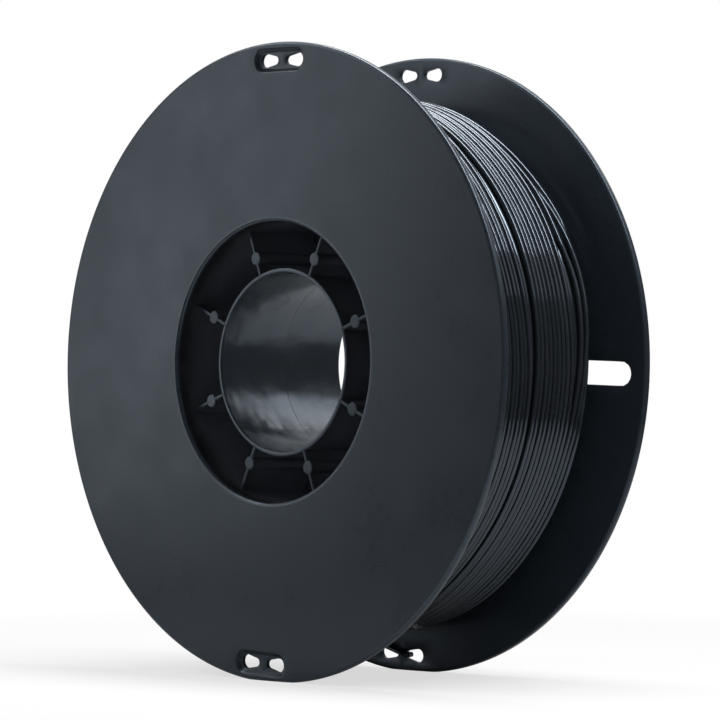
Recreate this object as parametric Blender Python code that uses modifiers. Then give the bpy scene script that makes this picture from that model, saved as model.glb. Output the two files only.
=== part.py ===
"""Filament spool: two moulded halves that meet in the middle of the hub, and the filament wound on them.

The spool stands upright on the rims of its flanges. Its axis lies along Y with the front flange towards -Y,
and the origin is the middle of the hub. Every piece is modelled about its own Z, which the parent empty
lays along Y, so that below "z" is the place along the spool's axis and an angle is counted from +X.
"""

import math

import bmesh
import bpy
import numpy as np
from mathutils import Matrix, Vector

MM = 0.001

# Flanges
FLANGE_RADIUS = 100 * MM
FLANGE_THICKNESS = 2.5 * MM
RIM_ROUNDING = 0.9 * MM
OVERALL_WIDTH = 65.5 * MM
# Depth of the flat that each rim stands on
STANDING_FLAT = 0.6 * MM

# Drum, hub tube, ribs and posts
HUB_OPENING_RADIUS = 44 * MM
OPENING_ROUNDING = 1 * MM
DRUM_WALL = 2.5 * MM
DRUM_ROOT_FILLET = 1 * MM
BORE_RADIUS = 28.2 * MM
TUBE_WALL = 1.3 * MM
FRONT_RECESS = 5 * MM
REAR_RECESS = 8 * MM
RIB_COUNT = 8
RIB_THICKNESS = 1.2 * MM
POST_RADIUS = 2.15 * MM
# Where a post stands between tube and drum: 0 at the tube, 1 at the drum
POST_PLACE = 0.38

# The joint between the halves: a pin on each front post enters a socket in the rear post
DRUM_SEAM = 0.3 * MM
HUB_SEAM = 0.6 * MM
PIN_RADIUS = 1.1 * MM
PIN_LENGTH = 6 * MM
PIN_ROOT = 3 * MM
PIN_CLEARANCE = 0.3 * MM
SOCKET_SPARE_DEPTH = 0.6 * MM

# Filament holes: pairs of tapered holes, wide end outwards, in shallow pockets
HOLE_LENGTH = 7.8 * MM
HOLE_WIDE_RADIUS = 2.2 * MM
GRIP_CLEARANCE = 0.45 * MM
HOLE_PAIR_SPACING = 3.4 * MM
HOLE_RIM_DISTANCE = 5.7 * MM
POCKET_LENGTH = 23 * MM
POCKET_HEIGHT = 7.5 * MM
POCKET_CORNER = 2.2 * MM
POCKET_DEPTH = 1.2 * MM

# Sight slot in the rear flange
SLOT_WIDTH = 7.4 * MM
SLOT_RIM_DISTANCE = 6 * MM
SLOT_DRUM_DISTANCE = 10 * MM

# How far the spool has rolled on its rims, clockwise seen from the front
ROLL = math.radians(2.6)

# Filament
FILAMENT_DIAMETER = 1.75 * MM
WINDING_RIM_DISTANCE = 14.3 * MM
MOST_TURNS = 24
POINTS_PER_TURN = 24
LEAST_TURN_GAP = 0.45 * MM
OUTER_LAYER_SHORTFALL = 9.7 * MM
SHOULDER_DROP = 7.5 * MM
END_SETBACK = 0.3 * MM
TAIL_STRAIGHT_SHARE = 0.6
TAIL_BEND_LENGTH = 5 * MM
START_LENGTH = 9 * MM
START_HOLE_CLEARANCE = 0.5 * MM
START_FLANGE_DISTANCE = 9 * MM
START_BAY = 5

# Gap that touching pieces keep, and how far a cutter or a joined piece runs past a face
GAP = 0.3 * MM
OVERLAP = 1 * MM
WELD_DISTANCE = 0.001 * MM

# Steps round each full circle
RIM_STEPS = 72
BORE_STEPS = 64
POST_STEPS = 16
PIN_STEPS = 12
CORNER_STEPS = 3
BAY_STEPS = 5

# Sizes that follow from these
HALF_WIDTH = OVERALL_WIDTH / 2
FLANGE_INNER_Z = HALF_WIDTH - FLANGE_THICKNESS
DRUM_RADIUS = HUB_OPENING_RADIUS + DRUM_WALL
TUBE_RADIUS = BORE_RADIUS + TUBE_WALL
POST_CIRCLE_RADIUS = TUBE_RADIUS + POST_PLACE * (HUB_OPENING_RADIUS - TUBE_RADIUS)
RIB_STEP = 2 * math.pi / RIB_COUNT
HOLE_CIRCLE_RADIUS = FLANGE_RADIUS - HOLE_RIM_DISTANCE
FILAMENT_RADIUS = FILAMENT_DIAMETER / 2
HOLE_NARROW_RADIUS = FILAMENT_RADIUS + GRIP_CLEARANCE
WINDING_RADIUS = FLANGE_RADIUS - WINDING_RIM_DISTANCE
TURN_RADIUS = WINDING_RADIUS - FILAMENT_RADIUS
CORE_RADIUS = TURN_RADIUS * math.cos(math.pi / POINTS_PER_TURN) - FILAMENT_RADIUS - GAP
START_HOLE_RADIUS = FILAMENT_RADIUS + START_HOLE_CLEARANCE

# Features' angles about the axis, before the roll: the top of the standing spool is at -Y of the pieces
TOP = math.radians(-90)
BOTTOM = math.radians(90)
RIGHT = 0.0


def clear_scene():
    """Remove every object of the startup scene."""
    for obj in list(bpy.data.objects):
        bpy.data.objects.remove(obj, do_unlink=True)


def new_collection(name):
    collection = bpy.data.collections.new(name)
    bpy.context.scene.collection.children.link(collection)
    return collection


def plastic(name, colour, roughness):
    """A Principled material of one colour."""
    material = bpy.data.materials.new(name)
    material.use_nodes = True
    shader = material.node_tree.nodes["Principled BSDF"]
    shader.inputs["Base Color"].default_value = (*colour, 1)
    shader.inputs["Roughness"].default_value = roughness
    shader.inputs["Metallic"].default_value = 0
    return material


def place(name, data, parent, collection, turn=0.0):
    """A new object under the spool's axis, turned about it."""
    obj = bpy.data.objects.new(name, data)
    obj.parent = parent
    obj.rotation_euler.z = turn
    collection.objects.link(obj)
    return obj


def arc(centre, radius, start, end, steps):
    """Points on an arc, both ends included."""
    angles = np.linspace(start, end, steps + 1)
    return [(centre[0] + radius * math.cos(a), centre[1] + radius * math.sin(a)) for a in angles]


def ring(radius, steps):
    return arc((0, 0), radius, 0, 2 * math.pi, steps)[:-1]


def turned(name, profile, parent, collection):
    """A closed profile of (radius, z) points turned about the axis, with a flat facet at the bottom."""
    mesh = bpy.data.meshes.new(name)
    count = len(profile)
    mesh.from_pydata([(r, 0, z) for r, z in profile], [(i, (i + 1) % count) for i in range(count)], [])
    obj = place(name, mesh, parent, collection, math.pi / RIM_STEPS)
    screw = obj.modifiers.new("Turn", "SCREW")
    screw.axis = "Z"
    screw.angle = 2 * math.pi
    screw.steps = RIM_STEPS
    screw.render_steps = RIM_STEPS
    screw.use_merge_vertices = True
    screw.merge_threshold = WELD_DISTANCE
    return obj


def extruded(name, outlines, bottom, top, parent, collection, turn=0.0, chamfer=0.0):
    """Flat closed outlines, filled, from z = bottom to top. A chamfer widens the piece away from its ends."""
    curve = bpy.data.curves.new(name, "CURVE")
    curve.dimensions = "2D"
    curve.fill_mode = "BOTH"
    curve.extrude = (top - bottom) / 2 - chamfer
    curve.bevel_depth = chamfer
    curve.bevel_resolution = 0
    for outline in outlines:
        spline = curve.splines.new("POLY")
        spline.points.add(len(outline) - 1)
        for point, (x, y) in zip(spline.points, outline):
            point.co = (x, y, 0, 1)
        spline.use_cyclic_u = True
    guide = place(name + "_outline", curve, parent, collection)
    graph = bpy.context.evaluated_depsgraph_get()
    mesh = bpy.data.meshes.new_from_object(guide.evaluated_get(graph))
    bpy.data.objects.remove(guide)
    shape = bmesh.new()
    shape.from_mesh(mesh)
    bmesh.ops.remove_doubles(shape, verts=shape.verts, dist=WELD_DISTANCE)
    bmesh.ops.recalc_face_normals(shape, faces=shape.faces)
    bmesh.ops.translate(shape, verts=shape.verts, vec=(0, 0, (bottom + top) / 2))
    shape.to_mesh(mesh)
    shape.free()
    return place(name, mesh, parent, collection, turn)


def rod(name, radius, steps, matrix, length, parent, collection):
    """A cylinder whose axis and middle are those of the matrix."""
    mesh = bpy.data.meshes.new(name)
    shape = bmesh.new()
    bmesh.ops.create_cone(
        shape, cap_ends=True, segments=steps, radius1=radius, radius2=radius, depth=length, matrix=matrix
    )
    shape.to_mesh(mesh)
    shape.free()
    return place(name, mesh, parent, collection)


def strand(name, points, parent, collection):
    """A length of filament along the points, with closed ends."""
    curve = bpy.data.curves.new(name, "CURVE")
    curve.dimensions = "3D"
    curve.bevel_depth = FILAMENT_RADIUS
    curve.bevel_resolution = 1
    curve.use_fill_caps = True
    spline = curve.splines.new("POLY")
    spline.points.add(len(points) - 1)
    for point, position in zip(spline.points, points):
        point.co = (*position, 1)
    return place(name, curve, parent, collection)


def combine(obj, operation, helper):
    """Join a helper to the object, or cut it out, and keep the helper out of the model."""
    helper.hide_render = True
    helper.display_type = "WIRE"
    step = obj.modifiers.new(helper.name, "BOOLEAN")
    step.operation = operation
    step.solver = "EXACT"
    step.object = helper


def half_profile():
    """Outline of the front flange and its half of the drum: (radius, z), down the outer side from the seam."""
    outer, inner, seam = -HALF_WIDTH, -FLANGE_INNER_Z, -DRUM_SEAM / 2
    quarter = math.pi / 2
    root = (DRUM_RADIUS + DRUM_ROOT_FILLET, inner + DRUM_ROOT_FILLET)
    rim_in = (FLANGE_RADIUS - RIM_ROUNDING, inner - RIM_ROUNDING)
    rim_out = (FLANGE_RADIUS - RIM_ROUNDING, outer + RIM_ROUNDING)
    mouth = (HUB_OPENING_RADIUS + OPENING_ROUNDING, outer + OPENING_ROUNDING)
    return [
        (DRUM_RADIUS, seam),
        *arc(root, DRUM_ROOT_FILLET, math.pi, 3 * quarter, CORNER_STEPS - 1),
        *arc(rim_in, RIM_ROUNDING, quarter, 0, CORNER_STEPS),
        *arc(rim_out, RIM_ROUNDING, 0, -quarter, CORNER_STEPS),
        *arc(mouth, OPENING_ROUNDING, -quarter, -math.pi, CORNER_STEPS),
        (HUB_OPENING_RADIUS, seam),
    ]


def rib_outline():
    """Outline of the hub tube with its ribs: each rib swells into a post and runs into the drum wall."""
    half = RIB_THICKNESS / 2
    tip = HUB_OPENING_RADIUS + DRUM_WALL / 2
    root_angle = math.asin(half / TUBE_RADIUS)
    post_angle = math.asin(half / POST_RADIUS)
    post_steps = POST_STEPS // 2
    side = arc((POST_CIRCLE_RADIUS, 0), POST_RADIUS, post_angle, math.pi - post_angle, post_steps)
    rib = [(x, -y) for x, y in reversed(side)] + [(tip, -half), (tip, half)] + side
    outline = []
    for k in range(RIB_COUNT):
        middle = RIB_STEP * (k + 0.5)
        turn = Matrix.Rotation(middle, 2)
        outline += [tuple(turn @ Vector(point)) for point in rib]
        outline += arc((0, 0), TUBE_RADIUS, middle + root_angle, middle + RIB_STEP - root_angle, BAY_STEPS)
    return outline


def tapered_slot(start, near_radius, far_radius, length):
    """Outline along +X from start: two round ends of their own radii, joined by tangents."""
    near = (start + near_radius, 0)
    far = (start + length - far_radius, 0)
    touch = math.acos((near_radius - far_radius) / (far[0] - near[0]))
    return [
        *arc(far, far_radius, -touch, touch, 2 * CORNER_STEPS),
        *arc(near, near_radius, touch, 2 * math.pi - touch, 2 * CORNER_STEPS),
    ]


def pocket_outline():
    """Floor of a pocket: a rectangle with its corners cut, its height along X and its length along Y."""
    radial, tangential = POCKET_HEIGHT / 2 - POCKET_DEPTH, POCKET_LENGTH / 2 - POCKET_DEPTH
    cut = POCKET_CORNER
    return [
        (HOLE_CIRCLE_RADIUS + sx * (radial - cx), sy * (tangential - cy))
        for sx, sy, cx, cy in (
            (1, -1, cut, 0), (1, -1, 0, cut), (1, 1, 0, cut), (1, 1, cut, 0),
            (-1, 1, cut, 0), (-1, 1, 0, cut), (-1, -1, 0, cut), (-1, -1, cut, 0),
        )
    ]


def cut_filament_holes(half, side, parent, helpers):
    """Two pairs of tapered holes, each in a pocket with sloping walls in the outer face."""
    middle = side * (HALF_WIDTH - FLANGE_THICKNESS / 2)
    hole_reach = FLANGE_THICKNESS / 2 + OVERLAP
    pocket_floor = HALF_WIDTH - POCKET_DEPTH
    pocket_ends = sorted((side * pocket_floor, side * (HALF_WIDTH + 2 * OVERLAP)))
    for place_name, angle in (("top", TOP), ("bottom", BOTTOM)):
        turn = angle + ROLL
        pocket = extruded(
            f"{half.name}_{place_name}_pocket", [pocket_outline()], *pocket_ends, parent, helpers, turn,
            POCKET_DEPTH + GAP,
        )
        combine(half, "DIFFERENCE", pocket)
        for hole_name, sign in (("a", -1), ("b", 1)):
            along = tapered_slot(HOLE_PAIR_SPACING / 2, HOLE_NARROW_RADIUS, HOLE_WIDE_RADIUS, HOLE_LENGTH)
            outline = [(HOLE_CIRCLE_RADIUS + y, sign * x) for x, y in along]
            hole = extruded(
                f"{half.name}_{place_name}_hole_{hole_name}", [outline], middle - hole_reach,
                middle + hole_reach, parent, helpers, turn,
            )
            combine(half, "DIFFERENCE", hole)


def cut_standing_flat(half, parent, helpers):
    """Cut the rim flat at the bottom, so that the spool stays where it is stood."""
    floor, below, end = FLANGE_RADIUS - STANDING_FLAT, FLANGE_RADIUS + OVERLAP, HALF_WIDTH + OVERLAP
    reach = math.sqrt(FLANGE_RADIUS**2 - floor**2) + OVERLAP
    outline = [(-reach, floor), (reach, floor), (reach, below), (-reach, below)]
    flat = extruded(half.name + "_standing_flat", [outline], -end, end, parent, helpers)
    combine(half, "DIFFERENCE", flat)


def post_places():
    """A matrix on each post's axis, at the seam."""
    for k in range(RIB_COUNT):
        turn = Matrix.Rotation(RIB_STEP * (k + 0.5) + TOP + ROLL, 4, "Z")
        yield turn @ Matrix.Translation((POST_CIRCLE_RADIUS, 0, 0))


def add_ribbed_tube(half, bottom, top, parent, helpers):
    outlines = [rib_outline(), ring(BORE_RADIUS, BORE_STEPS)]
    tube = extruded(half.name + "_hub", outlines, bottom, top, parent, helpers, TOP + ROLL)
    combine(half, "UNION", tube)


def make_front_half(parent, parts, helpers):
    half = turned("front_half", half_profile(), parent, parts)
    add_ribbed_tube(half, FRONT_RECESS - HALF_WIDTH, -HUB_SEAM / 2, parent, helpers)
    cut_filament_holes(half, -1, parent, helpers)
    cut_standing_flat(half, parent, helpers)
    for k, seat in enumerate(post_places()):
        middle = seat @ Matrix.Translation((0, 0, (PIN_LENGTH - PIN_ROOT) / 2))
        pin = rod(f"pin_{k}", PIN_RADIUS, PIN_STEPS, middle, PIN_LENGTH + PIN_ROOT, parent, helpers)
        combine(half, "UNION", pin)
    return half


def make_rear_half(parent, parts, helpers):
    profile = [(r, -z) for r, z in reversed(half_profile())]
    half = turned("rear_half", profile, parent, parts)
    add_ribbed_tube(half, HUB_SEAM / 2, HALF_WIDTH - REAR_RECESS, parent, helpers)
    cut_filament_holes(half, 1, parent, helpers)
    cut_standing_flat(half, parent, helpers)
    depth = PIN_LENGTH + SOCKET_SPARE_DEPTH
    for k, seat in enumerate(post_places()):
        middle = seat @ Matrix.Translation((0, 0, (depth - OVERLAP) / 2))
        socket = rod(
            f"socket_{k}", PIN_RADIUS + PIN_CLEARANCE, PIN_STEPS, middle, depth + OVERLAP, parent, helpers
        )
        combine(half, "DIFFERENCE", socket)
    inner_end = DRUM_RADIUS + SLOT_DRUM_DISTANCE
    outline = tapered_slot(
        inner_end, SLOT_WIDTH / 2, SLOT_WIDTH / 2, FLANGE_RADIUS - SLOT_RIM_DISTANCE - inner_end
    )
    slot = extruded(
        "sight_slot", [outline], FLANGE_INNER_Z - OVERLAP, HALF_WIDTH + OVERLAP, parent, helpers, RIGHT + ROLL
    )
    combine(half, "DIFFERENCE", slot)
    start_hole = rod(
        "start_hole", START_HOLE_RADIUS, PIN_STEPS, start_matrix(HUB_OPENING_RADIUS + DRUM_WALL / 2),
        DRUM_WALL + 2 * OVERLAP, parent, helpers,
    )
    combine(half, "DIFFERENCE", start_hole)
    return half


def start_matrix(radius):
    """Where the filament's inner end crosses the drum: Z runs outwards from the axis."""
    return (
        Matrix.Rotation(RIB_STEP * START_BAY + TOP + ROLL, 4, "Z")
        @ Matrix.Translation((radius, 0, FLANGE_INNER_Z - START_FLANGE_DISTANCE))
        @ Matrix.Rotation(math.pi / 2, 4, "Y")
    )


def make_filament_core(parent, parts):
    """The inner layers as one plain ring on the drum, which falls away where the outer layer stops short."""
    inner, end = DRUM_RADIUS + GAP, FLANGE_INNER_Z - GAP
    foot = DRUM_ROOT_FILLET
    profile = [
        (CORE_RADIUS - SHOULDER_DROP, end), (CORE_RADIUS, end - OUTER_LAYER_SHORTFALL), (CORE_RADIUS, -end),
        (inner + foot, -end), (inner, foot - end), (inner, end - foot), (inner + foot, end),
    ]
    return turned("filament_core", profile, parent, parts)


def grip_point():
    """Centre of the narrow end of the rear flange's lower hole that holds the loose end, as (x, y)."""
    tangential = HOLE_PAIR_SPACING / 2 + HOLE_NARROW_RADIUS
    return Matrix.Rotation(BOTTOM + ROLL, 2) @ Vector((HOLE_CIRCLE_RADIUS, -tangential))


def outer_layer_points():
    """Route of the outer layer: up out of the core, round in even turns, then off to the grip hole.

    A turn is a helix about the axis. It leaves the coil along the tangent through the grip point, and a
    cubic curve then bends the strand into the hole, square to the flange.
    """
    first_z = -FLANGE_INNER_Z + GAP + FILAMENT_RADIUS
    last_z = FLANGE_INNER_Z - OUTER_LAYER_SHORTFALL - FILAMENT_RADIUS
    turns = min(MOST_TURNS, int((last_z - first_z) / (FILAMENT_DIAMETER + LEAST_TURN_GAP)))
    grip = grip_point()
    # Seen along +Z the strand runs towards falling angles, which is anticlockwise from the front.
    leave = math.atan2(grip.y, grip.x) + math.acos(TURN_RADIUS / grip.length)
    share = np.linspace(0, 1, turns * POINTS_PER_TURN + 1)
    angles = leave + 2 * math.pi * turns * (1 - share)
    helix = np.stack(
        [TURN_RADIUS * np.cos(angles), TURN_RADIUS * np.sin(angles), first_z + (last_z - first_z) * share], 1
    )
    rise = np.array([math.cos(angles[0]), math.sin(angles[0]), 0])
    foot = rise * (CORE_RADIUS + GAP) + (0, 0, first_z)
    knee = foot + rise * FILAMENT_DIAMETER
    away = np.array([math.sin(leave), -math.cos(leave), 0])
    hole = np.array([grip.x, grip.y, FLANGE_INNER_Z - GAP - FILAMENT_RADIUS])
    reach = np.linalg.norm(hole - helix[-1])
    controls = (helix[-1], helix[-1] + away * reach * TAIL_STRAIGHT_SHARE, hole - (0, 0, TAIL_BEND_LENGTH), hole)
    share = np.linspace(0, 1, POINTS_PER_TURN)[1:, None]
    weights = ((1 - share) ** 3, 3 * share * (1 - share) ** 2, 3 * share**2 * (1 - share), share**3)
    tail = sum(weight * control for weight, control in zip(weights, controls))
    tip = np.array([grip.x, grip.y, HALF_WIDTH - END_SETBACK])
    return np.vstack([foot, knee, helix[1:], tail, tip])


def least_gap(points):
    """Smallest clear distance between stretches of the strand that are over half a turn apart."""
    apart = np.linalg.norm(points[:, None] - points[None], axis=2)
    index = np.arange(len(points))
    apart[abs(index[:, None] - index) < POINTS_PER_TURN // 2] = np.inf
    return apart.min() - FILAMENT_DIAMETER


def make_filament_outer_layer(parent, parts):
    points = outer_layer_points()
    print(f"outer layer: least gap to itself {least_gap(points) / MM:.2f} mm")
    return strand("filament_outer_layer", points, parent, parts)


def make_filament_start(parent, parts):
    """The strand's inner end, which comes through the drum wall into the hub."""
    outer = DRUM_RADIUS
    matrix = start_matrix(0)
    points = [matrix @ Vector((0, 0, radius)) for radius in (outer, outer - START_LENGTH)]
    return strand("filament_inner_end", points, parent, parts)


def main():
    clear_scene()
    parts = new_collection("filament_spool")
    helpers = new_collection("cutters")
    axis = bpy.data.objects.new("spool_axis", None)
    axis.rotation_euler.x = -math.pi / 2
    parts.objects.link(axis)
    black = plastic("black_plastic", (0.03, 0.033, 0.04), 0.45)
    grey = plastic("dark_filament", (0.02, 0.021, 0.024), 0.3)
    for half in (make_front_half(axis, parts, helpers), make_rear_half(axis, parts, helpers)):
        half.data.materials.append(black)
    for filament in (
        make_filament_core(axis, parts),
        make_filament_outer_layer(axis, parts),
        make_filament_start(axis, parts),
    ):
        filament.data.materials.append(grey)


main()
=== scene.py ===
"""Filament spool, dressed for display.

Fine surfaces stand for the two moulded halves, the wound filament and its two ends, with their finishes, and a
plain studio shows them. Lengths are in metres. The spool's axis lies along Y, with the front flange towards -Y.
"""

import math

import bmesh
import bpy
import numpy as np
from bpy.props import FloatProperty, FloatVectorProperty, IntProperty, PointerProperty
from mathutils import Matrix, Vector


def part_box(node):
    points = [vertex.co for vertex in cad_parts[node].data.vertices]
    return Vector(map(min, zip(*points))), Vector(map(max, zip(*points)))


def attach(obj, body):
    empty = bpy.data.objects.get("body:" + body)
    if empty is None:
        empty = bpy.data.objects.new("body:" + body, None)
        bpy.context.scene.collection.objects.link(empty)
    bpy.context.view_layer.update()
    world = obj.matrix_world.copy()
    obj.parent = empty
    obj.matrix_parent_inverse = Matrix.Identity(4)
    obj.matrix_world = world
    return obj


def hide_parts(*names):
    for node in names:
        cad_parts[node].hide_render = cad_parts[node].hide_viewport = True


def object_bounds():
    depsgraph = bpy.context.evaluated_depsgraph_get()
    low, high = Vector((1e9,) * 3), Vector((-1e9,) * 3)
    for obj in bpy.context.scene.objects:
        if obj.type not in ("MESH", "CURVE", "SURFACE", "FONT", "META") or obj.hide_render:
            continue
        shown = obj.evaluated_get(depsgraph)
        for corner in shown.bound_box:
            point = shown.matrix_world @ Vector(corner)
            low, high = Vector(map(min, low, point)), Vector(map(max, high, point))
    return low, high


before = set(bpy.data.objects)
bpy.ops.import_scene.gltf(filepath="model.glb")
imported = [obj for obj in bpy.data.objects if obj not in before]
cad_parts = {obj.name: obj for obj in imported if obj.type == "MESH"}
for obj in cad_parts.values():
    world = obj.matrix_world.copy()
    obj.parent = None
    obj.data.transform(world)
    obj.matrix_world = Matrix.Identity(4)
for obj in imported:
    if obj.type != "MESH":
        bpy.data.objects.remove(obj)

bl_info = {
    "name": "Filament Spool",
    "version": (1, 0, 0),
    "blender": (4, 5, 0),
    "location": "3D View > Sidebar > Spool",
    "description": "Builds a spool of printing filament round its packed model",
    "category": "Add Mesh",
}

MM = 0.001
CAD_BOX = [list(corner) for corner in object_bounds()]
FRONT_LOW, FRONT_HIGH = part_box("front_half")
FLOOR_HEIGHT = CAD_BOX[0][2]

FRONT_BODY = "front_half"
REAR_BODY = "rear_half_with_filament"

# Angles about the axis, counted from +X towards +Z, before the roll
TOP, RIGHT, BOTTOM = math.radians(90), 0.0, math.radians(-90)

# Fineness of the surfaces
ROUND_COLUMNS = 360
TUBE_COLUMNS = 240
POST_COLUMNS = 32
ARC_STEPS = 6
CENTRE_LINE_POINTS = 7
WELD = 1e-7

# Where the filament starts, counted back from the top, and how much of it stands in the drum
START_BEARING = math.radians(225)
STUB_LENGTH = 9 * MM

# Numbers of a half's materials. The bore is partly painted light, the rubbed edges partly a painted highlight, and the
# fourth is painted shade near the hub's mouth with painted light deeper in
SATIN, POLISHED, RUBBED_PAINTED_HIGHLIGHT, PAINTED_SHADE_AND_LIGHT = range(4)


def length(name, description, millimetres):
    return FloatProperty(name=name, description=description, default=millimetres * MM, unit="LENGTH", precision=5)


def angle(name, description, degrees):
    return FloatProperty(name=name, description=description, default=math.radians(degrees), subtype="ANGLE")


def share(name, description, default):
    return FloatProperty(name=name, description=description, default=default, subtype="FACTOR", min=0, max=1)


def colour(name, description, default):
    return FloatVectorProperty(
        name=name, description=description, default=default, subtype="COLOR", size=3, min=0, max=1
    )


class SpoolSizes(bpy.types.PropertyGroup):
    """Sizes of the two moulded halves."""

    flange_radius: length("Flange radius", "Outside radius of both flanges", FRONT_HIGH[0] / MM)
    half_width: length("Half width", "From the middle of the hub to a flange's outer face", -FRONT_LOW[1] / MM)
    flange_thickness: length("Flange thickness", "Between a flange's faces", 2.5)
    rim_rounding: length("Rim rounding", "Radius on both edges of the rim", 0.9)
    opening_radius: length("Opening radius", "Inside of the drum", 44)
    mouth_rounding: length("Mouth rounding", "Radius where the face turns into the drum", 1)
    drum_wall: length("Drum wall", "Thickness of the drum", 2.5)
    root_fillet: length("Root fillet", "Radius between drum and flange", 1)
    bore_radius: length("Bore radius", "Inside of the hub tube", 28.2)
    tube_wall: length("Tube wall", "Thickness of the hub tube", 1.3)
    front_recess: length("Front recess", "From the front face back to the hub's ribs", 5)
    rear_recess: length("Rear recess", "From the rear face in to the hub's ribs", 8)
    rib_count: IntProperty(name="Ribs", description="Ribs, and posts, round the hub", default=8, min=3)
    rib_thickness: length("Rib thickness", "Thickness of a rib", 1.2)
    post_radius: length("Post radius", "Radius of the round post in each rib", 2.15)
    post_circle: length("Post circle", "Radius of the circle that the posts stand on", 35)
    pin_radius: length("Pin radius", "Radius of the pins on the front posts", 1.1)
    pin_length: length("Pin length", "How far a pin enters its socket", 6)
    socket_radius: length("Socket radius", "Radius of the sockets in the rear posts", 1.4)
    socket_depth: length("Socket depth", "Depth of the sockets", 6.6)
    seam: length("Seam", "Half of the gap between the halves", 0.08)
    bore_seam: length("Bore seam", "Half of the gap between the halves in the bore", 0.015)
    edge: length("Edge", "Small rounding on moulded edges", 0.3)
    roll: angle("Roll", "How far the spool has rolled, clockwise from the front", 2.6)


class OpeningSizes(bpy.types.PropertyGroup):
    """Sizes of the filament holes, their pockets and the sight slot."""

    hole_rim_distance: length("Hole distance", "From the rim to the middle of the holes", 5.7)
    hole_spacing: length("Hole spacing", "Between the narrow ends of a pair", 3.4)
    hole_length: length("Hole length", "Length of one tapered hole", 7.8)
    narrow_radius: length("Narrow radius", "Radius of a hole's narrow end", 1.325)
    wide_radius: length("Wide radius", "Radius of a hole's wide end", 2.2)
    pocket_length: length("Pocket length", "Length of the pocket round a pair", 23)
    pocket_height: length("Pocket height", "Height of the pocket", 7.5)
    pocket_corner: length("Pocket corner", "Length cut off each corner", 2.2)
    pocket_depth: length("Pocket depth", "Depth of the pocket", 1.2)
    slot_width: length("Slot width", "Width of the sight slot", 7.4)
    slot_rim_distance: length("Slot distance", "From the rim to the slot's outer end", 6)
    slot_drum_distance: length("Slot inset", "From the drum to the slot's inner end", 10)
    start_hole_radius: length("Start hole", "Hole in the drum for the filament's inner end", 1.375)
    start_place: length("Start place", "From the middle of the hub to that hole", 21.25)


class WindingSizes(bpy.types.PropertyGroup):
    """The filament and how it lies on the drum."""

    strand_radius: length("Strand radius", "Half of the filament's diameter", 0.875)
    winding_radius: length("Winding radius", "Outside radius of the outer layer", 85.7)
    turns: IntProperty(name="Turns", description="Turns in the outer layer", default=26, min=4)
    pitch: length("Pitch", "From one turn to the next in the front turns", 1.8)
    rear_pitch: length("Rear pitch", "From one turn to the next behind the main gap", 1.95)
    first_place: length("First place", "From the middle of the hub forward to the first turn", 29.05)
    main_gap: length("Main gap", "Extra room after the front turns", 1.1)
    turns_before_gap: IntProperty(name="Turns before gap", description="Turns in front of the main gap", default=14)
    opening: length("Opening", "How much wider the main gap is on the upper right", 2.4)
    lean: length("Lean", "How far turns lie to the rear away from the right side", 0.9)
    fan: length("Fan", "How far the last turns swing to the rear on the right", 5)
    sink: length("Sink", "How far the last turn but one lies lower on the upper right", 1.5)
    wander: length("Wander", "How far a turn strays from an even lay", 0.06)
    heap: length("Heap", "How far a turn stands higher or lower than even", 0.08)
    inner_drop: length("Inner drop", "How far the layer below lies inside the outer one", 1.65)
    shoulder_width: length("Shoulder width", "Rear stretch where the outer layer is missing", 13)
    shoulder_drop: length("Shoulder drop", "How far the winding falls there", 8.4)
    tail_radius: length("Tail radius", "How far from the axis the springy loose end leaves the last turn", 91)
    tail_place: length("Tail place", "From the middle of the hub to the loose end along the flange", 28.6)
    seed: IntProperty(name="Seed", description="Picks the uneven lay", default=4)


class FinishSettings(bpy.types.PropertyGroup):
    """Colours and gloss."""

    plastic: colour("Plastic", "Moulded plastic", (0.0125, 0.0165, 0.0215))
    # Besides dust and wear, this pale plastic brightens the bore as painted light and pales the rubbed edges as a
    # painted highlight.
    plastic_pale: colour("Rubbed plastic", "Where the plastic is dusty or rubbed", (0.032, 0.038, 0.045))
    plastic_roughness: share("Plastic roughness", "Satin finish of the faces", 0.3)
    plastic_specular: share("Plastic reflection", "How strongly the satin faces reflect", 0.3)
    edge_roughness: share("Edge roughness", "Gloss of the rubbed edges", 0.3)
    bore_roughness: share("Bore roughness", "Polish of the bore", 0.17)
    bore_specular: share("Bore reflection", "How strongly the polished bore reflects", 0.72)
    # The two recess colours are painted light: painted shade just inside the mouth, where light falls, and painted
    # light deep in the hub, where it is shaded.
    recess: colour("Recess", "Plastic just inside the hub's mouth", (0.004, 0.005, 0.0065))
    recess_painted_light: colour("Recess dust", "Dusty plastic deep in the hub", (0.095, 0.108, 0.135))
    filament: colour("Filament", "Filament", (0.006, 0.0072, 0.009))
    filament_pale: colour("Rubbed filament", "Streaks along the filament", (0.02, 0.023, 0.027))
    filament_roughness: share("Filament roughness", "Gloss of the filament", 0.12)
    filament_specular: share("Filament reflection", "How strongly the filament reflects", 0.65)
    reflection: colour("Reflection", "Tint of what the plastics reflect", (0.67, 0.82, 1.0))
    floor: colour("Floor", "Floor of the studio", (0.62, 0.62, 0.62))


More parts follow.
